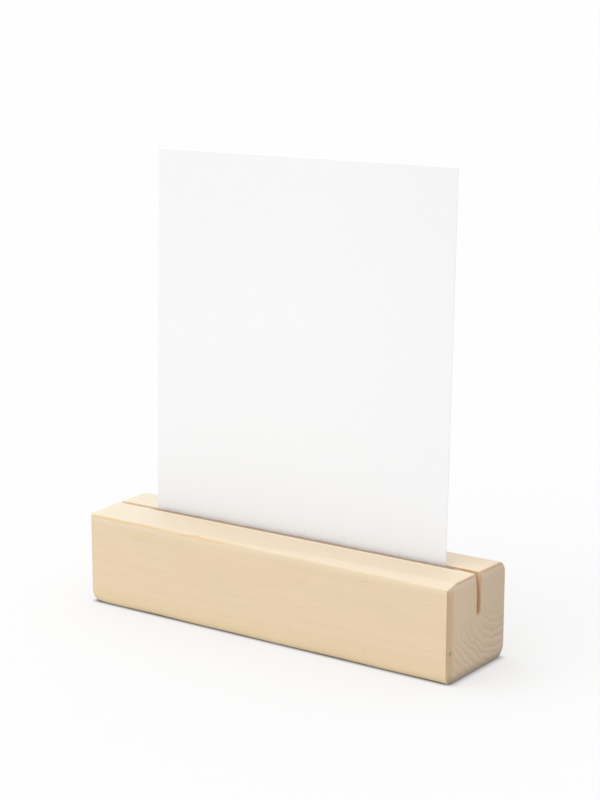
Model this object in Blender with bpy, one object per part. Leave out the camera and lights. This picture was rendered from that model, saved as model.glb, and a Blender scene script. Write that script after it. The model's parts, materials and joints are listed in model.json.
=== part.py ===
"""Table number holder: a softwood block with a saw kerf along its top, and the card that stands in it.

Units are metres. The origin is the centre of the block's underside. +X runs along the block, +Y from
its front face to its back face, and +Z up.
"""

import math

import bmesh
import bpy
from mathutils import Matrix, Vector

MM = 0.001

# Block
BLOCK_LENGTH = 160.6 * MM  # along the back
LEFT_END_SKEW = 2.0 * MM  # the left end isn't sawn square: the front is this much shorter than the back
BLOCK_WIDTH = 38.6 * MM
BLOCK_HEIGHT = 34.8 * MM
BOTTOM_FRONT_ROUND = 3.2 * MM
BOTTOM_BACK_ROUND = 4.2 * MM
TOP_BACK_ROUND = 2.6 * MM
END_EASE = 1.2 * MM  # rounding of the arrises around each end face

# The block's top front arris is worn to a shallow slope, with a soft bend where it meets each face
SLOPE_WIDTH = 5.0 * MM
SLOPE_DROP = 1.3 * MM
SLOPE_TOP_ROUND = 8.0 * MM
SLOPE_FRONT_ROUND = 1.6 * MM

# Slot: one saw kerf along the whole top, with a round floor
SLOT_WIDTH = 2.4 * MM
SLOT_DEPTH = 14.7 * MM
SLOT_OFFSET = 0.6 * MM  # behind the block's middle
SLOT_LIP_ROUND = 0.4 * MM
SLOT_FLOOR_ROUND = 1.15 * MM

# Card
CARD_WIDTH = 127.0 * MM
CARD_HEIGHT = 150.0 * MM
CARD_THICKNESS = 0.5 * MM
CARD_CORNER_ROUND = 0.4 * MM
CARD_SHIFT = 3.1 * MM  # along the block, from its middle
CARD_LEAN = math.radians(1.5)  # towards the back
CARD_WALL_GAP = 0.3 * MM  # to the slot's back wall, at the lip
CARD_FLOOR_GAP = 0.4 * MM  # to the lowest line of the slot's floor

# Facets
STEPS_PER_QUARTER = 6
FEWEST_STEPS = 2
SMALLEST_ROUND = 0.1 * MM
SMOOTH_UP_TO = math.radians(30)

PINE_COLOUR = (0.79, 0.63, 0.43, 1.0)
PINE_ROUGHNESS = 0.62
CARD_COLOUR = (0.90, 0.90, 0.885, 1.0)
CARD_ROUGHNESS = 0.55


def clear_scene():
    for obj in list(bpy.data.objects):
        bpy.data.objects.remove(obj, do_unlink=True)


def material(name, colour, roughness):
    made = bpy.data.materials.new(name)
    made.use_nodes = True
    made.diffuse_color = colour
    shader = made.node_tree.nodes["Principled BSDF"]
    shader.inputs["Base Color"].default_value = colour
    shader.inputs["Roughness"].default_value = roughness
    shader.inputs["Metallic"].default_value = 0.0
    return made


def arc(corner, into, out_of, radius):
    """Points of the arc that rounds a corner. `into` and `out_of` are the edges' unit directions."""
    turn = math.atan2(into.cross(out_of), into.dot(out_of))
    start = corner - into * radius * math.tan(abs(turn) / 2)
    centre = start + Vector((-into.y, into.x)) * math.copysign(radius, turn)
    steps = max(FEWEST_STEPS, round(abs(turn) / (math.pi / 2) * STEPS_PER_QUARTER))
    return [centre + Matrix.Rotation(turn * step / steps, 2) @ (start - centre) for step in range(steps + 1)]


def rounded_outline(corners, inset=0.0):
    """An anticlockwise outline of (first, second, radius) corners, drawn `inset` inside itself.

    An outer corner's radius shrinks with the inset and an inner corner's grows with it.
    """
    points = []
    for index, (first, second, radius) in enumerate(corners):
        corner = Vector((first, second))
        into = (corner - Vector(corners[index - 1][:2])).normalized()
        out_of = (Vector(corners[(index + 1) % len(corners)][:2]) - corner).normalized()
        inward_in = Vector((-into.y, into.x))
        inward_out = Vector((-out_of.y, out_of.x))
        corner += (inward_in + inward_out) * inset / (1 + inward_in.dot(inward_out))
        if into.cross(out_of) > 0:
            radius = max(radius - inset, SMALLEST_ROUND)
        else:
            radius += inset
        points += arc(corner, into, out_of, radius)
    return points


def lofted_mesh(name, rings):
    """A closed mesh whose skin runs through rings of equally many points, with a flat cap on each end."""
    shell = bmesh.new()
    rows = [[shell.verts.new(point) for point in ring] for ring in rings]
    for row, following in zip(rows, rows[1:]):
        for index, vert in enumerate(row):
            shell.faces.new((row[index - 1], vert, following[index], following[index - 1]))
    shell.faces.new(rows[0])
    shell.faces.new(rows[-1])
    bmesh.ops.recalc_face_normals(shell, faces=shell.faces)
    mesh = bpy.data.meshes.new(name)
    shell.to_mesh(mesh)
    shell.free()
    mesh.shade_smooth()
    mesh.set_sharp_from_angle(angle=SMOOTH_UP_TO)
    return mesh


def add_piece(name, mesh, made_of):
    mesh.materials.append(made_of)
    piece = bpy.data.objects.new(name, mesh)
    bpy.context.scene.collection.objects.link(piece)
    return piece


def block_section():
    """The block's cross-section across its length, as (y, z, radius), with the slot as part of the outline."""
    front = -BLOCK_WIDTH / 2
    back = BLOCK_WIDTH / 2
    slot_front = SLOT_OFFSET - SLOT_WIDTH / 2
    slot_back = SLOT_OFFSET + SLOT_WIDTH / 2
    slot_floor = BLOCK_HEIGHT - SLOT_DEPTH
    return [
        (front, 0.0, BOTTOM_FRONT_ROUND),
        (back, 0.0, BOTTOM_BACK_ROUND),
        (back, BLOCK_HEIGHT, TOP_BACK_ROUND),
        (slot_back, BLOCK_HEIGHT, SLOT_LIP_ROUND),
        (slot_back, slot_floor, SLOT_FLOOR_ROUND),
        (slot_front, slot_floor, SLOT_FLOOR_ROUND),
        (slot_front, BLOCK_HEIGHT, SLOT_LIP_ROUND),
        (front + SLOPE_WIDTH, BLOCK_HEIGHT, SLOPE_TOP_ROUND),
        (front, BLOCK_HEIGHT - SLOPE_DROP, SLOPE_FRONT_ROUND),
    ]


def add_base_block():
    section = block_section()
    rings = []
    for end in (-1, 1):
        for step in range(STEPS_PER_QUARTER + 1):
            # Each end's rounding starts on its end face and runs inwards, so the first end is taken in
            # order and the other end backwards.
            angle = math.pi / 2 * (step if end < 0 else STEPS_PER_QUARTER - step) / STEPS_PER_QUARTER
            inset = END_EASE * (1 - math.sin(angle))
            x = end * (BLOCK_LENGTH / 2 - END_EASE * (1 - math.cos(angle)))
            skew = LEFT_END_SKEW if end < 0 else 0.0
            ring = []
            for point in rounded_outline(section, inset):
                ring.append((x + skew * (0.5 - point.x / BLOCK_WIDTH), point.x, point.y))
            rings.append(ring)
    mesh = lofted_mesh("base_block", rings)
    return add_piece("base_block", mesh, material("pine", PINE_COLOUR, PINE_ROUGHNESS))


def add_card():
    """The card, with its origin at the middle of its lower edge, which lies on the line it slides out on."""
    half_width = CARD_WIDTH / 2
    outline = rounded_outline(
        [
            (-half_width, 0.0, CARD_CORNER_ROUND),
            (half_width, 0.0, CARD_CORNER_ROUND),
            (half_width, CARD_HEIGHT, CARD_CORNER_ROUND),
            (-half_width, CARD_HEIGHT, CARD_CORNER_ROUND),
        ]
    )
    faces = (-CARD_THICKNESS / 2, CARD_THICKNESS / 2)
    mesh = lofted_mesh("card", [[(point.x, y, point.y) for point in outline] for y in faces])
    card = add_piece("card", mesh, material("card_stock", CARD_COLOUR, CARD_ROUGHNESS))

    slot_back = SLOT_OFFSET + SLOT_WIDTH / 2
    middle_at_lip = slot_back - CARD_WALL_GAP - CARD_THICKNESS / 2 / math.cos(CARD_LEAN)
    depth_held = SLOT_DEPTH - CARD_FLOOR_GAP
    card.location = (
        CARD_SHIFT,
        middle_at_lip - depth_held * math.tan(CARD_LEAN),
        BLOCK_HEIGHT - depth_held,
    )
    card.rotation_euler.x = -CARD_LEAN
    return card


clear_scene()
add_base_block()
add_card()
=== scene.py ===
"""The looks of the table number holder: a hand-sanded wooden block and the white card in its slot.

Lengths are metres, in the frame of the CAD model: +X along the block, +Y to its back, +Z up, with the
origin at the centre of its underside.
"""

import json
import math
from types import SimpleNamespace

import bmesh
import bpy
from mathutils import Matrix, Vector, noise


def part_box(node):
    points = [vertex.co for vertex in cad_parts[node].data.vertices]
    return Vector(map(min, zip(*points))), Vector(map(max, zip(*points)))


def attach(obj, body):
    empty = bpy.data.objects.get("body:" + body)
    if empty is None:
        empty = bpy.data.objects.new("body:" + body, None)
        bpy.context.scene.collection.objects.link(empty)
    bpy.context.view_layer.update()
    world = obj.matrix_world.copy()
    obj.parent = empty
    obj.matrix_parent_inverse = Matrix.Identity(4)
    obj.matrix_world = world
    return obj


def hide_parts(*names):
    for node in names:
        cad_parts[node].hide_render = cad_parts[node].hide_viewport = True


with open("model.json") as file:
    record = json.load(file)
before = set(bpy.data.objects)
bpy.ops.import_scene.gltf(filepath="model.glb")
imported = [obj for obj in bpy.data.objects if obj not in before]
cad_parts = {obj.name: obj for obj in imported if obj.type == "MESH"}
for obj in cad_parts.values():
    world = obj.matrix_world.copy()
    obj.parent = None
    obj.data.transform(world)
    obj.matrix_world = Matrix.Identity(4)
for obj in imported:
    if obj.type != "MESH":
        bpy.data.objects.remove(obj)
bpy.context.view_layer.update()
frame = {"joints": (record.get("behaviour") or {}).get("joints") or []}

MM = 0.001

block_low, block_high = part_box("base_block")
card_low, card_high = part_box("card")
slide_axis = Vector(frame["joints"][0]["axis"])

# The slot and the card's thickness, as in the CAD model
SLOT_WIDTH = 2.4 * MM
SLOT_DEPTH = 14.7 * MM
SLOT_MIDDLE = 0.6 * MM
CARD_THICKNESS = 0.5 * MM

# Camera
CAMERA_TARGET = Vector((-9.1, 21.7, 79.70)) * MM
CAMERA_DISTANCE = 713.7 * MM
CAMERA_AZIMUTH = math.radians(35.21)
CAMERA_ELEVATION = math.radians(12.28)
CAMERA_ROLL = math.radians(0.08)
CAMERA_LENS = 87.2
CAMERA_SENSOR = 36.0
CAMERA_REACH = 200.0


# ---------------------------------------------------------------- small tools


def smoothstep(value):
    value = min(max(value, 0.0), 1.0)
    return value * value * (3 - 2 * value)


def eased(controls, at):
    """A smooth curve through (position, value) pairs, level at each of them."""
    if at <= controls[0][0]:
        return controls[0][1]
    for (start, first), (end, second) in zip(controls, controls[1:]):
        if at <= end:
            return first + (second - first) * smoothstep((at - start) / (end - start))
    return controls[-1][1]


def direction(azimuth, elevation):
    """The unit vector towards a compass place: azimuth 0 is straight in front of the block."""
    return Vector(
        (
            math.sin(azimuth) * math.cos(elevation),
            -math.cos(azimuth) * math.cos(elevation),
            math.sin(elevation),
        )
    )


def link_piece(name, mesh, material):
    mesh.materials.append(material)
    piece = bpy.data.objects.new(name, mesh)
    bpy.context.scene.collection.objects.link(piece)
    return piece


# ---------------------------------------------------------------- the block's shape

BLOCK_LENGTH = block_high.x - block_low.x
FRONT = block_low.y
BACK = block_high.y
TOP = block_high.z

LEFT_END_SKEW = 2.0 * MM  # the left end isn't square: the front is this much shorter than the back

BOTTOM_FRONT_ROUND = 3.2 * MM
BOTTOM_BACK_ROUND = 4.4 * MM
TOP_BACK_ROUND = 3.3 * MM
TOP_BACK_DROP = 0.15 * MM
LIP_ROUND = 0.25 * MM
LIP_RAGGEDNESS = 0.06 * MM
FLOOR_ROUND = 1.15 * MM
BURR_HEIGHT = 0.85 * MM  # raised fibres along the slot's front lip, a guess at what draws its brown line; the dark brown on it is painted shade of the gap in front of the card
BURR_WIDTH = 0.5 * MM
BURR_ROUND = 0.10 * MM
LEFT_FOOT_ROUND = 1.2 * MM  # the extra rounding of the bottom front arris as it nears the left end
LEFT_FOOT_REACH = 8 * MM
KNEE_DEPTH = 4.5 * MM  # how far down the slot's walls open out at an end
MOUTH_ROUND_SHARE = 0.8  # the rounding of the slot's mouth at an end, as a share of how far it opens out

END_ROUND = 1.8 * MM  # how far the arrises around an end face reach along the block
LEFT_FRONT_ROUND = 4.2 * MM  # the upright arris at the front left, which is sanded rounder
RIGHT_FRONT_ROUND = 0.9 * MM
END_STEPS = 14
STATION_GAP = 1.1 * MM
RUN_GAP = 2.4 * MM  # between points along the straight stretches of an outline
CAP_MARGIN = 0.12  # the flat ring just inside an end face's rim, as a share of the rounding

# How far the rounding at an end face moves the section's corners, in millimetres along Y and Z
BACK_IN = -1.2
FOOT_UP = 1.1
WALL_OUT = 0.15
KNEE_DOWN = -1.1
SLOT_FLOOR_DOWN = -0.2
SLOPE_TOP_DOWN = -0.9
SLOPE_FRONT_DOWN = -0.5
SLOPE_FRONT_FURTHER_IN = 0.1  # than the front face below it
LEFT_END = SimpleNamespace(front_in=3.9, slope_in=2.4, flare=0.3, mouth_down=-0.6)
RIGHT_END = SimpleNamespace(front_in=2.5, slope_in=0.2, flare=1.5, mouth_down=-1.1)

# Pairs of (place along the block from its middle, value) in millimetres. The sandpaper took more off the top
# front arris in some places than in others: how far its slope drops at the front face, how wide it is on
# top, and how round its front edge is. The burr's values are shares of its height.
SLOPE_DROPS = ((-78, 0.15), (-51, 0.1), (-13, 0.15), (11, 0.5), (46, 0.9), (67, 1.1), (80, 1.3))
SLOPE_WIDTHS = ((-78, 5.5), (-39, 4.6), (-11, 3.2), (13, 5.0), (51, 4.8), (80, 5.2))
SLOPE_FRONT_ROUNDS = ((-30, 1.3), (25, 0.7))
BURR_SHARES = ((-68, 0.0), (-58, 1.0), (70, 1.0), (76, 0.0))
SLOPE_TOP_ROUND = 9.0 * MM
SLOPE_RIPPLE = 0.28 * MM
WAVE_HEIGHT = 0.05 * MM
WAVE_LENGTH = Vector((34.0, 11.0, 11.0)) * MM
WAVE_FULL_HEIGHT = 6 * MM  # above the underside, which itself stays flat


def wander(along, wavelength, row):
    """A smooth number between -1 and 1 for a place along the block. Each row is another, unrelated curve."""
    return noise.noise(Vector((along / wavelength, row, 0.7)))


def section_corners(x, distance, margin=0.0):
    """Corners of the cross-section at x as (y, z, radius, steps).

    `distance` is to the nearer end face, where the sanded arrises draw the outline in. `margin` draws it in
    a little further, for the flat of the end face itself.
    """
    along = x / MM
    end, front_reach = (LEFT_END, LEFT_FRONT_ROUND) if x < 0 else (RIGHT_END, RIGHT_FRONT_ROUND)
    drop = eased(SLOPE_DROPS, along) * MM + SLOPE_RIPPLE * wander(along, 4.5, 9.0)
    width = eased(SLOPE_WIDTHS, along) * MM
    slope_front = eased(SLOPE_FRONT_ROUNDS, along) * MM
    slot_front = SLOT_MIDDLE - SLOT_WIDTH / 2 + LIP_RAGGEDNESS * wander(along, 1.9, 1.5)
    slot_back = SLOT_MIDDLE + SLOT_WIDTH / 2 + LIP_RAGGEDNESS * wander(along, 2.3, 6.5)
    floor = TOP - SLOT_DEPTH
    knee = TOP - KNEE_DEPTH
    burr = BURR_HEIGHT * eased(BURR_SHARES, along) * (1 + 0.35 * wander(along, 2.9, 3.3))
    bottom_front = BOTTOM_FRONT_ROUND * (1 + 0.12 * wander(along, 23.0, 4.2))
    if x < 0:
        bottom_front += LEFT_FOOT_ROUND * smoothstep(1 - distance / LEFT_FOOT_REACH)
    bottom_back = BOTTOM_BACK_ROUND * (1 + 0.10 * wander(along, 23.0, 5.2))
    top_back = TOP_BACK_ROUND * (1 + 0.18 * wander(along, 23.0, 6.2))
    mouth_round = MOUTH_ROUND_SHARE * end.flare * MM
    slope_front_in = end.front_in + SLOPE_FRONT_FURTHER_IN

    def corner(y, z, radius, steps, shift_y, shift_z, reach=END_ROUND, end_radius=None):
        """A corner, moved by the shifts as the end face nears. Its radius turns into `end_radius` there."""
        near = max(1 - distance / reach, 0.0)
        share = 1 - math.sqrt(1 - near * near) + margin
        if end_radius is not None:
            radius += (end_radius - radius) * share
        return (y + shift_y * MM * share, z + shift_z * MM * share, radius, steps)

    # The burr's foot moves out twice as far as the lip, so that the lip's rounding never passes it
    return [
        corner(FRONT, 0.0, bottom_front, 8, end.front_in, FOOT_UP, front_reach),
        corner(BACK, 0.0, bottom_back, 9, BACK_IN, FOOT_UP),
        corner(BACK, TOP - TOP_BACK_DROP, top_back, 8, BACK_IN, end.mouth_down),
        corner(slot_back, TOP, LIP_ROUND, 4, end.flare, end.mouth_down, end_radius=mouth_round),
        corner(slot_back, knee, 0.0, 0, WALL_OUT, KNEE_DOWN),
        corner(slot_back, floor, FLOOR_ROUND, 6, WALL_OUT, SLOT_FLOOR_DOWN),
        corner(slot_front, floor, FLOOR_ROUND, 6, -WALL_OUT, SLOT_FLOOR_DOWN),
        corner(slot_front, knee, 0.0, 0, -WALL_OUT, KNEE_DOWN),
        corner(slot_front, TOP + burr, BURR_ROUND, 4, -end.flare, end.mouth_down, end_radius=mouth_round),
        corner(slot_front - BURR_WIDTH, TOP, 0.0, 0, -2 * end.flare, end.mouth_down),
        corner(FRONT + width, TOP, SLOPE_TOP_ROUND, 5, end.slope_in, SLOPE_TOP_DOWN, front_reach),
        corner(FRONT, TOP - drop, slope_front, 6, slope_front_in, SLOPE_FRONT_DOWN, front_reach),
    ]


def corner_points(corner, before, after, radius, steps):
    """The arc that rounds a corner, or the corner itself where it isn't rounded."""
    if steps == 0:
        return [corner]
    into = (corner - before).normalized()
    out_of = (after - corner).normalized()
    turn = math.atan2(into.cross(out_of), into.dot(out_of))
    start = corner - into * radius * math.tan(abs(turn) / 2)
    centre = start + Vector((-into.y, into.x)) * math.copysign(radius, turn)
    return [centre + Matrix.Rotation(turn * step / steps, 2) @ (start - centre) for step in range(steps + 1)]


def section_outline(corners, run_steps):
    """Points round the outline: each corner's arc, then `run_steps` equal steps to the next corner's."""
    places = [Vector(corner[:2]) for corner in corners]
    arcs = []
    for index, (_, _, radius, steps) in enumerate(corners):
        following = places[(index + 1) % len(places)]
        arcs.append(corner_points(places[index], places[index - 1], following, radius, steps))
    points = []
    for index, arc in enumerate(arcs):
        points += arc
        start = arc[-1]
        stop = arcs[(index + 1) % len(arcs)][0]
        count = run_steps[index]
        points += [start.lerp(stop, step / count) for step in range(1, count)]
    return points


def straight_run_steps():
    """How many steps each straight stretch of the section is cut into, the same all along the block."""
    corners = section_corners(0.0, BLOCK_LENGTH / 2)
    counts = []
    for corner, following in zip(corners, corners[1:] + corners[:1]):
        length = (Vector(following[:2]) - Vector(corner[:2])).length
        counts.append(max(1, round(length / RUN_GAP)))
    return counts


def stations():
    """(x, distance to the nearer end, margin) of every cross-section: close together where the ends round."""
    half = BLOCK_LENGTH / 2
    reaches = [0.0]
    for step in range(END_STEPS + 1):
        reaches.append(LEFT_FRONT_ROUND * (1 - math.cos(math.pi / 2 * step / END_STEPS)))
    ends = [(reach, CAP_MARGIN if index == 0 else 0.0) for index, reach in enumerate(reaches)]
    first = [(reach - half, reach, margin) for reach, margin in ends]
    last = [(half - reach, reach, margin) for reach, margin in reversed(ends)]
    span = BLOCK_LENGTH - 2 * LEFT_FRONT_ROUND
    steps = round(span / STATION_GAP)
    middle = []
    for step in range(1, steps):
        x = LEFT_FRONT_ROUND - half + span * step / steps
        middle.append((x, half - abs(x), 0.0))
    return first + middle + last


def sanding_wave(point):
    """How far the sanded surface lies below its true face, growing from nothing at the underside."""
    scaled = Vector(point[axis] / WAVE_LENGTH[axis] for axis in range(3))
    return WAVE_HEIGHT * (noise.noise(scaled) - 1) / 2 * smoothstep(point.z / WAVE_FULL_HEIGHT)


def block_mesh():
    shell = bmesh.new()
    run_steps = straight_run_steps()
    rows = []
    for x, distance, margin in stations():
        outline = section_outline(section_corners(x, distance, margin), run_steps)
        towards_left = 0.5 - x / BLOCK_LENGTH
        row = []
        for index, point in enumerate(outline):
            along = outline[(index + 1) % len(outline)] - outline[index - 1]
            outward = Vector((0.0, along.y, -along.x)).normalized()
            skew = LEFT_END_SKEW * towards_left * (BACK - point.x) / (BACK - FRONT)
            place = Vector((x + skew, point.x, point.y))
            row.append(shell.verts.new(place + outward * sanding_wave(place)))
        rows.append(row)
    for row, following in zip(rows, rows[1:]):
        for index, vert in enumerate(row):
            shell.faces.new((row[index - 1], vert, following[index], following[index - 1]))
    shell.faces.new(rows[0])
    shell.faces.new(rows[-1])
    bmesh.ops.recalc_face_normals(shell, faces=shell.faces)
    mesh = bpy.data.meshes.new("block")
    shell.to_mesh(mesh)
    shell.free()
    mesh.shade_smooth()
    return mesh


# ---------------------------------------------------------------- the card's shape

CARD_COLUMNS = 42
CARD_ROWS = 50
CARD_BOW = 0.22 * MM
CARD_EDGE_CROWN = 0.05 * MM
CARD_STRAIGHT = 17.0 * MM  # the lowest stretch, which the slot holds flat
CARD_SHARP_ANGLE = math.radians(40)


def card_mesh():
    """A sheet with two faces and a slightly crowned cut edge, very slightly bowed above the slot."""
    width = card_high.x - card_low.x
    lean = math.atan2(slide_axis.y, slide_axis.z)
    across = Vector((0.0, math.cos(lean), -math.sin(lean)))
    height = (card_high.z - card_low.z - CARD_THICKNESS * math.sin(lean)) / math.cos(lean)
    middle_low = Vector(
        (
            (card_low.x + card_high.x) / 2,
            card_low.y + CARD_THICKNESS / 2 * math.cos(lean),
            card_low.z + CARD_THICKNESS / 2 * math.sin(lean),
        )
    )

    def place(column, row, side, outward=Vector((0.0, 0.0))):
        u = column / CARD_COLUMNS
        v = row / CARD_ROWS
        free = smoothstep((v * height - CARD_STRAIGHT) / (height - CARD_STRAIGHT))
        bow = CARD_BOW * (1 - (2 * u - 1) ** 2) * free
        flat = Vector((1.0, 0.0, 0.0)) * ((u - 0.5) * width + outward.x)
        return middle_low + flat + slide_axis * (v * height + outward.y) + across * (side + bow)

    sheet = bmesh.new()
    half = CARD_THICKNESS / 2
    grids = []
    for side in (-half, half):
        grids.append(
            [
                [sheet.verts.new(place(column, row, side)) for column in range(CARD_COLUMNS + 1)]
                for row in range(CARD_ROWS + 1)
            ]
        )
    for grid in grids:
        for row in range(CARD_ROWS):
            for column in range(CARD_COLUMNS):
                sheet.faces.new(
                    (
                        grid[row][column],
                        grid[row][column + 1],
                        grid[row + 1][column + 1],
                        grid[row + 1][column],
                    )
                )
    rim = [(column, 0) for column in range(CARD_COLUMNS)]
    rim += [(CARD_COLUMNS, row) for row in range(CARD_ROWS)]
    rim += [(column, CARD_ROWS) for column in range(CARD_COLUMNS, 0, -1)]
    rim += [(0, row) for row in range(CARD_ROWS, 0, -1)]
    crown = []
    for column, row in rim:
        outward = Vector(
            (
                (column == CARD_COLUMNS) - (column == 0),
                (row == CARD_ROWS) - (row == 0),
            )
        )
        crown.append(sheet.verts.new(place(column, row, 0.0, outward * CARD_EDGE_CROWN)))
    for grid in grids:
        edge = [grid[row][column] for column, row in rim]
        for index, vert in enumerate(edge):
            sheet.faces.new((edge[index - 1], vert, crown[index], crown[index - 1]))
    bmesh.ops.recalc_face_normals(sheet, faces=sheet.faces)
    mesh = bpy.data.meshes.new("card_sheet")
    sheet.to_mesh(mesh)
    sheet.free()
    mesh.shade_smooth()
    mesh.set_sharp_from_angle(angle=CARD_SHARP_ANGLE)
    return mesh


# ---------------------------------------------------------------- material tools


class Graph:
    """A short way to write a node tree.

    `node` and `noise` return the node that they add, and `split` its three outputs. The rest return one
    output. Where an input is a plain value and not another node's output, it is set on the socket.
    """

    def __init__(self, tree):
        self.tree = tree

    def put(self, socket, value):
        if isinstance(value, bpy.types.NodeSocket):
            self.tree.links.new(value, socket)
        else:
            socket.default_value = value

    def node(self, kind, inputs=None, **settings):
        made = self.tree.nodes.new(kind)
        for name, value in settings.items():
            setattr(made, name, value)
        for name, value in (inputs or {}).items():
            self.put(made.inputs[name], value)
        return made

    def math(self, operation, *values):
        made = self.node("ShaderNodeMath", operation=operation)
        for socket, value in zip(made.inputs, values):
            self.put(socket, value)
        return made.outputs[0]

    def product(self, first, *others):
        for other in others:
            first = self.math("MULTIPLY", first, other)
        return first

    def split(self, vector):
        return self.node("ShaderNodeSeparateXYZ", {0: vector}).outputs

    def scaled(self, vector, factors):
        return self.vector("MULTIPLY", vector, factors)

    def vector(self, operation, first, second=(0.0, 0.0, 0.0)):
        made = self.node("ShaderNodeVectorMath", {0: first, 1: second}, operation=operation)
        return made.outputs["Value" if operation in ("LENGTH", "DOT_PRODUCT") else "Vector"]

    def noise(self, vector, scale, detail=2.0, roughness=0.5):
        inputs = {"Vector": vector, "Scale": scale, "Detail": detail, "Roughness": roughness}
        return self.node("ShaderNodeTexNoise", inputs)

    def mapped(self, value, low, high, to_low=0.0, to_high=1.0, smooth=True):
        inputs = {"Value": value, 1: low, 2: high, 3: to_low, 4: to_high}
        kind = "SMOOTHSTEP" if smooth else "LINEAR"
        return self.node("ShaderNodeMapRange", inputs, interpolation_type=kind).outputs[0]

    def mix(self, share, first, second, blend="MIX"):
        made = self.node("ShaderNodeMix", data_type="RGBA", blend_type=blend)
        self.put(made.inputs[0], share)
        self.put(made.inputs[6], first)
        self.put(made.inputs[7], second)
        return made.outputs[2]


def new_material(name):
    made = bpy.data.materials.new(name)
    made.use_nodes = True
    return made, Graph(made.node_tree), made.node_tree.nodes["Principled BSDF"]


# ---------------------------------------------------------------- wood

# Places here are in millimetres, because the noise scales are easier to read that way
TO_MM = (1000.0, 1000.0, 1000.0)
PITH_Y = 17.0  # the tree's centre, from the block's middle and its underside
PITH_Z = 31.0
RING_GAP = 2.6
TOP_MM = TOP / MM
SLOT_MIDDLE_MM = SLOT_MIDDLE / MM
SLOT_FLOOR_MM = TOP_MM - SLOT_DEPTH / MM
END_MM = BLOCK_LENGTH / 2 / MM

EARLY = (0.700, 0.560, 0.375, 1.0)
LATE = (0.600, 0.465, 0.300, 1.0)
ROSY = (0.740, 0.560, 0.400, 1.0)
# pale wood, as in the pin knot; on the top and on its front slope it is painted sheen
PALE_AND_SHEEN = (0.820, 0.730, 0.610, 1.0)
TOP_LEFT_SHEEN = (0.660, 0.680, 0.600, 1.0)  # painted sheen on the left end of the top
DARK_FLECK = (0.470, 0.330, 0.190, 1.0)
PALE_FLECK = (0.820, 0.680, 0.500, 1.0)
ARRIS = (0.440, 0.285, 0.140, 1.0)  # the polished arrises around the ends
RIDGE = (0.650, 0.455, 0.225, 1.0)  # the one along the top of the front
FOOT = (0.680, 0.515, 0.285, 1.0)
RING_LIGHT = (0.760, 0.640, 0.500, 1.0)
PITCH = (0.230, 0.120, 0.055, 1.0)
# painted shade at the foot of the end faces, where they meet the floor
CONTACT_SHADE = (0.230, 0.190, 0.150, 1.0)
KERF = (0.620, 0.430, 0.260, 1.0)  # the walls that the saw blade burnished
LIP_SHADE = (0.270, 0.195, 0.128, 1.0)  # painted shade on the burr along the slot's front lip, for the shadowed gap in front of the card
KERF_LEFT = (0.760, 0.620, 0.440, 1.0)
END_SHADE = (0.880, 0.845, 0.860, 1.0)
END_SHADE_BACK = (0.775, 0.752, 0.785, 1.0)
PIN_KNOT = (6.1, 16.6)  # y and z of a pale spot in the right end face
PITCH_SPOT = (-17.7, 11.3)  # y and z of a dark one on its front arris


def grain_rings(graph, place):
    """Uneven rings around the pith: how much late wood each point holds, and the pale line after it."""
    slow = graph.noise(graph.scaled(place, (0.012, 0.055, 0.055)), 1.0).outputs["Color"]
    fine = graph.noise(graph.scaled(place, (0.02, 0.21, 0.21)), 1.0, detail=3.0).outputs["Color"]
    bend = graph.scaled(graph.vector("SUBTRACT", slow, (0.5, 0.5, 0.5)), (0.0, 7.0, 7.0))
    waver = graph.scaled(graph.vector("SUBTRACT", fine, (0.5, 0.5, 0.5)), (0.0, 3.6, 3.6))
    waved = graph.vector("ADD", graph.vector("ADD", place, bend), waver)
    from_pith = graph.vector("SUBTRACT", waved, (0.0, PITH_Y, PITH_Z))
    radius = graph.vector("LENGTH", graph.scaled(from_pith, (0.012, 1.0, 1.0)))
    years = graph.math("FRACT", graph.math("DIVIDE", radius, RING_GAP))
    late = graph.product(graph.mapped(years, 0.20, 0.85), graph.mapped(years, 1.0, 0.90))
    return late, graph.product(graph.mapped(years, 0.0, 0.08), graph.mapped(years, 0.26, 0.12))


def flecks(graph, place):
    """Short streaks along the grain: how much each point is a dark one, and how much a pale one."""
    space = graph.scaled(place, (0.15, 1.6, 1.6))
    cells = graph.node("ShaderNodeTexVoronoi", {"Vector": space, "Scale": 1.0}, feature="F1")
    chance = graph.node("ShaderNodeSeparateColor", {0: cells.outputs["Color"]})
    near = graph.mapped(cells.outputs["Distance"], 0.36, 0.10)
    dark = graph.product(near, graph.mapped(chance.outputs[0], 0.90, 0.98))
    pale = graph.product(near, graph.mapped(chance.outputs[1], 0.88, 0.98))
    return dark, pale


def spot_distance(graph, place, y, z):
    """Distance in millimetres from a spot on the right end face."""
    away = graph.vector("SUBTRACT", place, (END_MM, y, z))
    return graph.vector("LENGTH", graph.scaled(away, (0.35, 1.0, 0.85)))


def wood_point(graph):
    """What the wood's layers ask about a point: where it is, which way it faces, and what grain it has."""
    spot = graph.node("ShaderNodeTexCoord")
    place = graph.scaled(spot.outputs["Object"], TO_MM)
    x, y, z = graph.split(place)
    facing = graph.split(spot.outputs["Normal"])
    endwise = graph.math("ABSOLUTE", facing[0])
    late, rim = grain_rings(graph, place)
    fibre_space = graph.scaled(place, (0.05, 2.6, 2.6))
    return SimpleNamespace(
        place=place,
        x=x,
        y=y,
        z=z,
        facing=facing,
        endwise=endwise,
        late=late,
        rim=rim,
        fibres=graph.noise(fibre_space, 1.0, detail=5.0, roughness=0.62).outputs[0],
        end_grain=graph.mapped(endwise, 0.45, 0.95),
        on_top=graph.mapped(z, TOP_MM - 4.0, TOP_MM - 0.5),
    )


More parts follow.
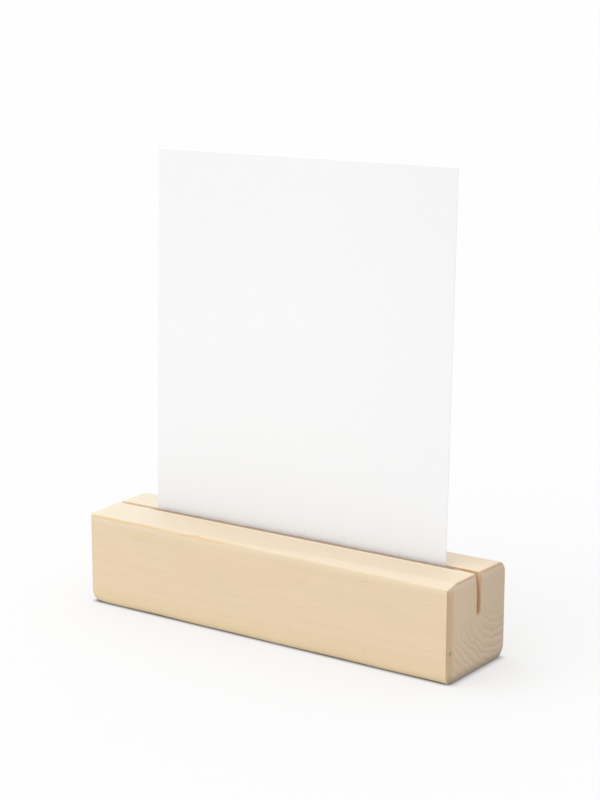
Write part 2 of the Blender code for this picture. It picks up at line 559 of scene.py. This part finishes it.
def grain_colour(graph, point):
    """Rings, fibres, streaks and flecks. The rings show on the end faces and only faintly along the sides."""
    streaks = graph.noise(graph.scaled(point.place, (0.02, 0.5, 0.5)), 1.0, detail=3.0).outputs[0]
    blotch = graph.noise(graph.scaled(point.place, (0.022, 0.07, 0.07)), 1.0).outputs[0]
    dark_fleck, pale_fleck = flecks(graph, point.place)
    end_rings = graph.product(graph.mapped(point.z, 22.0, 9.0, 0.16, 1.0), point.end_grain)
    side_rings = graph.mapped(point.end_grain, 1.0, 0.0, 0.0, 0.16)
    ringed = graph.product(point.late, graph.math("ADD", end_rings, side_rings))
    colour = graph.mix(ringed, EARLY, LATE)
    colour = graph.mix(graph.mapped(point.fibres, 0.35, 0.68, 0.0, 0.16), colour, LATE)
    colour = graph.mix(graph.mapped(streaks, 0.40, 0.70, 0.0, 0.14), colour, LATE)
    colour = graph.mix(graph.mapped(blotch, 0.3, 0.7, 0.0, 0.24), colour, ROSY)
    colour = graph.mix(graph.mapped(point.x, -80.0, 80.0, 0.0, 0.13), colour, LATE)
    colour = graph.mix(graph.product(dark_fleck, 0.42), colour, DARK_FLECK)
    colour = graph.mix(graph.product(pale_fleck, 0.55), colour, PALE_FLECK)
    pale_rings = graph.product(end_rings, point.rim, graph.mapped(point.y, -16.0, 8.0, 0.1, 0.5))
    return graph.mix(pale_rings, colour, RING_LIGHT)


def shade_faces(graph, point, colour):
    """The top is paler, most at its left end: painted sheen. The end grain is darker, more so towards the
    back.
    """
    # painted sheen: the top paler than the sides, most at its left end
    colour = graph.mix(graph.product(point.on_top, 0.28), colour, PALE_AND_SHEEN)
    leftwards = graph.product(point.on_top, graph.mapped(point.x, -20.0, -78.0, 0.0, 0.30))
    colour = graph.mix(leftwards, colour, TOP_LEFT_SHEEN)
    shade = graph.mix(graph.mapped(point.y, -12.0, 17.0, smooth=False), END_SHADE, END_SHADE_BACK)
    return graph.mix(point.end_grain, colour, graph.mix(1.0, colour, shade, blend="MULTIPLY"))


def polish_arrises_and_sheen_slope(graph, point, colour):
    """The arrises around the ends took on a brown polish, and in places so did the top front one. The pale on
    the top front slope, towards the right, is a painted highlight.
    """
    arris = graph.product(graph.mapped(point.endwise, 0.12, 0.50), graph.mapped(point.endwise, 0.998, 0.72))
    beside = graph.mapped(point.y, -14.8, -18.3, 0.0, 0.50)
    beside = graph.product(beside, graph.mapped(point.endwise, 0.5, 0.9))
    arris = graph.product(graph.math("MAXIMUM", arris, beside), graph.mapped(point.x, -60.0, 0.0, 0.30, 0.85))
    colour = graph.mix(arris, colour, ARRIS)

    _, forward, upward = point.facing
    ridge = graph.product(graph.mapped(upward, 0.02, 0.22), graph.mapped(upward, 0.93, 0.75))
    ridge = graph.product(ridge, graph.mapped(forward, -0.25, -0.45))
    patchy = graph.noise(graph.scaled(point.place, (0.09, 0.3, 0.3)), 1.0).outputs[0]
    worn = graph.mapped(point.x, 2.0, -30.0, 0.20, 0.85)
    worn = graph.product(worn, graph.mapped(patchy, 0.30, 0.60, 0.45, 1.0))
    ridge = graph.product(ridge, worn, graph.mapped(point.z, TOP_MM - 6.0, TOP_MM - 4.0))
    colour = graph.mix(ridge, colour, RIDGE)

    # painted highlight: the top front slope paler towards the right
    slope = graph.product(graph.mapped(forward, -0.05, -0.14), graph.mapped(forward, -0.55, -0.35))
    slope = graph.product(slope, point.on_top, graph.mapped(point.x, -30.0, 10.0, 0.0, 0.22))
    return graph.mix(slope, colour, PALE_AND_SHEEN)


def foot_tone_and_contact_shade(graph, point, colour):
    """The bottom of the front is yellower, and the bottom of the end faces is darkened with painted shade
    where they meet the floor.
    """
    low = graph.product(graph.mapped(point.z, 10.0, 1.5, 0.0, 0.4), graph.mapped(point.facing[1], -0.2, -0.6))
    colour = graph.mix(low, colour, FOOT)
    # painted shade: the end faces darker towards the floor
    contact_shade = graph.product(graph.mapped(point.z, 4.0, 0.6, 0.0, 0.7), graph.mapped(point.endwise, 0.25, 0.6))
    return graph.mix(contact_shade, colour, CONTACT_SHADE)


def burnish_kerf_and_shade_lip(graph, point, colour):
    """Brown on the slot's walls and mouths, as from the saw blade. The dark brown on the burr and just before
    it is painted shade, for the shadowed gap in front of the card.
    """
    from_middle = graph.math("ABSOLUTE", graph.math("SUBTRACT", point.y, SLOT_MIDDLE_MM))
    inside = graph.product(
        graph.mapped(from_middle, 1.75, 1.30),
        graph.mapped(point.endwise, 0.95, 0.70),
        graph.mapped(point.z, SLOT_FLOOR_MM - 0.6, SLOT_FLOOR_MM - 0.1),
    )
    flank = graph.product(
        graph.mapped(from_middle, 4.2, 2.2),
        graph.mapped(point.endwise, 0.995, 0.90),
        graph.mapped(point.endwise, 0.05, 0.25, 0.0, 0.45),
        point.on_top,
    )
    kerf = graph.math("MAXIMUM", inside, flank)
    colour = graph.mix(kerf, colour, graph.mix(graph.mapped(point.x, -50.0, -66.0), KERF, KERF_LEFT))
    # painted shade on the burr and the lip, for the shadowed gap in front of the card
    lip = graph.product(
        graph.mapped(point.y, SLOT_MIDDLE_MM - 2.0, SLOT_MIDDLE_MM - 1.6),
        graph.mapped(point.y, SLOT_MIDDLE_MM, SLOT_MIDDLE_MM - 0.5),
        graph.mapped(point.z, TOP_MM - 0.5, TOP_MM - 0.2),
        graph.mapped(point.x, -66.0, -58.0),
        graph.mapped(point.x, 76.0, 70.0),
        0.9,
    )
    return graph.mix(lip, colour, LIP_SHADE)


def add_spots(graph, point, colour):
    """A pin knot with a darker ring around it, and a spot of pitch."""
    knot = spot_distance(graph, point.place, *PIN_KNOT)
    ring = graph.product(graph.mapped(knot, 0.5, 0.9), graph.mapped(knot, 1.7, 1.1), 0.25)
    colour = graph.mix(ring, colour, ARRIS)
    colour = graph.mix(graph.mapped(knot, 0.60, 0.30, 0.0, 0.30), colour, PALE_AND_SHEEN)
    pitch = graph.mapped(spot_distance(graph, point.place, *PITCH_SPOT), 0.80, 0.30, 0.0, 0.7)
    return graph.mix(pitch, colour, PITCH)


def wood():
    made, graph, shader = new_material("pale_wood")
    point = wood_point(graph)
    colour = grain_colour(graph, point)
    for layer in (shade_faces, polish_arrises_and_sheen_slope, foot_tone_and_contact_shade, burnish_kerf_and_shade_lip, add_spots):
        colour = layer(graph, point, colour)
    height = graph.math("ADD", graph.product(point.fibres, 0.6), graph.product(point.late, 0.25))
    bump = graph.node("ShaderNodeBump", {"Height": height, "Strength": 0.35, "Distance": 0.00012})
    graph.put(shader.inputs["Base Color"], colour)
    graph.put(shader.inputs["Roughness"], graph.mapped(point.fibres, 0.2, 0.8, 0.44, 0.56))
    graph.put(shader.inputs["Normal"], bump.outputs[0])
    return made


# ---------------------------------------------------------------- card stock

CARD_WHITE = (0.810, 0.810, 0.813, 1.0)
CARD_MOTTLE = (0.802, 0.802, 0.803, 1.0)
CARD_EDGE_SHADE = (0.770, 0.770, 0.774, 1.0)  # painted shade: a little greyer towards its top and its right edge
CARD_FOOT = (0.786, 0.797, 0.814, 1.0)  # cooler, against the warm light that the wood throws up at it
CARD_SEAT = (0.808, 0.807, 0.808, 1.0)  # the strip that the slot holds
CARD_CUT_LIGHT = (0.930, 0.930, 0.930, 1.0)  # painted light: the cut edges at the card's sides, made lighter where they would be in shade


def card_stock():
    made, graph, shader = new_material("white_card")
    coordinates = graph.node("ShaderNodeTexCoord")
    place = graph.scaled(coordinates.outputs["Object"], TO_MM)
    mottle = graph.noise(place, 0.35, detail=4.0, roughness=0.6).outputs[0]
    felt = graph.noise(place, 2.6, detail=3.0, roughness=0.65).outputs[0]
    x, _, z = graph.split(place)
    colour = graph.mix(graph.mapped(mottle, 0.35, 0.65), CARD_WHITE, CARD_MOTTLE)
    # painted shade towards the card's top and its right edge
    outer = graph.math("ADD", graph.mapped(z, 105.0, 168.0, 0.0, 0.35), graph.mapped(x, 5.0, 66.0, 0.0, 0.4))
    colour = graph.mix(outer, colour, CARD_EDGE_SHADE)
    colour = graph.mix(graph.mapped(z, 75.0, TOP_MM + 5.0), colour, CARD_FOOT)
    colour = graph.mix(graph.mapped(z, TOP_MM + 3.0, TOP_MM + 0.6), colour, CARD_SEAT)
    facing = graph.split(coordinates.outputs["Normal"])
    # painted light on the cut edges at the card's sides
    colour = graph.mix(graph.mapped(graph.math("ABSOLUTE", facing[0]), 0.5, 0.9), colour, CARD_CUT_LIGHT)
    bump = graph.node("ShaderNodeBump", {"Height": felt, "Strength": 0.25, "Distance": 0.00004})
    graph.put(shader.inputs["Base Color"], colour)
    graph.put(shader.inputs["Roughness"], graph.mapped(felt, 0.3, 0.7, 0.55, 0.65))
    graph.put(shader.inputs["Normal"], bump.outputs[0])
    shader.inputs["Specular IOR Level"].default_value = 0.3
    return made


# ---------------------------------------------------------------- floor, light and camera

FLOOR_RADIUS = 60.0
FLOOR_SEGMENTS = 96
FLOOR_WHITE = (0.330, 0.330, 0.330, 1.0)
FLOOR_GLOW = 0.555  # fades out under the block and just around it, which paints its contact shadow
GLOW_FADE = (0.3 * MM, 3.4 * MM)  # distances from the block's footprint, drawn in by the next three
FOOTPRINT_LEFT_IN = 5 * MM
FOOTPRINT_RIGHT_IN = 3 * MM
FOOTPRINT_SIDE_IN = 3 * MM
FADE_RIGHT_SQUASH = 0.6  # makes the fade reach further to the right
SKY_LEVEL = 0.88
SKY_LEAN = (-0.37, -0.16, 0.52)  # how much brighter the sky is towards +X, +Y and +Z
SUN_STRENGTH = 0.40
SUN_SPREAD = math.radians(60)
SUN_AZIMUTH = math.radians(-40)
SUN_ELEVATION = math.radians(48)


def add_floor():
    disc = bmesh.new()
    bmesh.ops.create_circle(disc, cap_ends=True, segments=FLOOR_SEGMENTS, radius=FLOOR_RADIUS)
    mesh = bpy.data.meshes.new("floor")
    disc.to_mesh(mesh)
    disc.free()
    made, graph, shader = new_material("floor_white")
    shader.inputs["Base Color"].default_value = FLOOR_WHITE
    shader.inputs["Roughness"].default_value = 1.0
    shader.inputs["Specular IOR Level"].default_value = 0.0
    shader.inputs["Emission Color"].default_value = (1.0, 1.0, 1.0, 1.0)
    x, y, _ = graph.split(graph.node("ShaderNodeTexCoord").outputs["Object"])
    right = graph.math("MAXIMUM", graph.math("SUBTRACT", x, BLOCK_LENGTH / 2 - FOOTPRINT_RIGHT_IN), 0.0)
    left = graph.math("MAXIMUM", graph.math("SUBTRACT", -BLOCK_LENGTH / 2 + FOOTPRINT_LEFT_IN, x), 0.0)
    aside = graph.math("ADD", graph.product(right, FADE_RIGHT_SQUASH), left)
    outside = graph.math("SUBTRACT", graph.math("ABSOLUTE", y), BACK - FOOTPRINT_SIDE_IN)
    beyond = graph.math("MAXIMUM", outside, 0.0)
    away = graph.vector("LENGTH", graph.node("ShaderNodeCombineXYZ", {0: aside, 1: beyond}).outputs[0])
    graph.put(shader.inputs["Emission Strength"], graph.mapped(away, *GLOW_FADE, 0.0, FLOOR_GLOW))
    floor = link_piece("floor", mesh, made)


def add_light():
    world = bpy.data.worlds.new("studio")
    bpy.context.scene.world = world
    world.use_nodes = True
    graph = Graph(world.node_tree)
    sky = world.node_tree.nodes["Background"]
    sky.inputs["Color"].default_value = (1.0, 1.0, 1.0, 1.0)
    way = graph.node("ShaderNodeTexCoord").outputs["Generated"]
    lean = graph.vector("DOT_PRODUCT", way, SKY_LEAN)
    graph.put(sky.inputs["Strength"], graph.math("ADD", lean, SKY_LEVEL))
    lamp = bpy.data.lights.new("key", "SUN")
    lamp.energy = SUN_STRENGTH
    lamp.angle = SUN_SPREAD
    key = bpy.data.objects.new("key", lamp)
    key.rotation_mode = "QUATERNION"
    key.rotation_quaternion = direction(SUN_AZIMUTH, SUN_ELEVATION).to_track_quat("Z", "Y")
    bpy.context.scene.collection.objects.link(key)


def add_camera():
    lens = bpy.data.cameras.new("camera")
    lens.lens = CAMERA_LENS
    lens.sensor_width = CAMERA_SENSOR
    lens.clip_end = CAMERA_REACH
    camera = bpy.data.objects.new("camera", lens)
    back = direction(CAMERA_AZIMUTH, CAMERA_ELEVATION)
    facing = back.to_track_quat("Z", "Y") @ Matrix.Rotation(CAMERA_ROLL, 3, "Z").to_quaternion()
    camera.location = CAMERA_TARGET + back * CAMERA_DISTANCE
    camera.rotation_euler = facing.to_euler()
    bpy.context.scene.collection.objects.link(camera)
    bpy.context.scene.camera = camera


# ---------------------------------------------------------------- the scene

bpy.context.scene.view_settings.view_transform = "Standard"
add_camera()
add_light()
add_floor()

block = link_piece("wood_block", block_mesh(), wood())
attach(block, "base")
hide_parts("base_block")

card = link_piece("card_sheet", card_mesh(), card_stock())
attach(card, "card")
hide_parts("card")
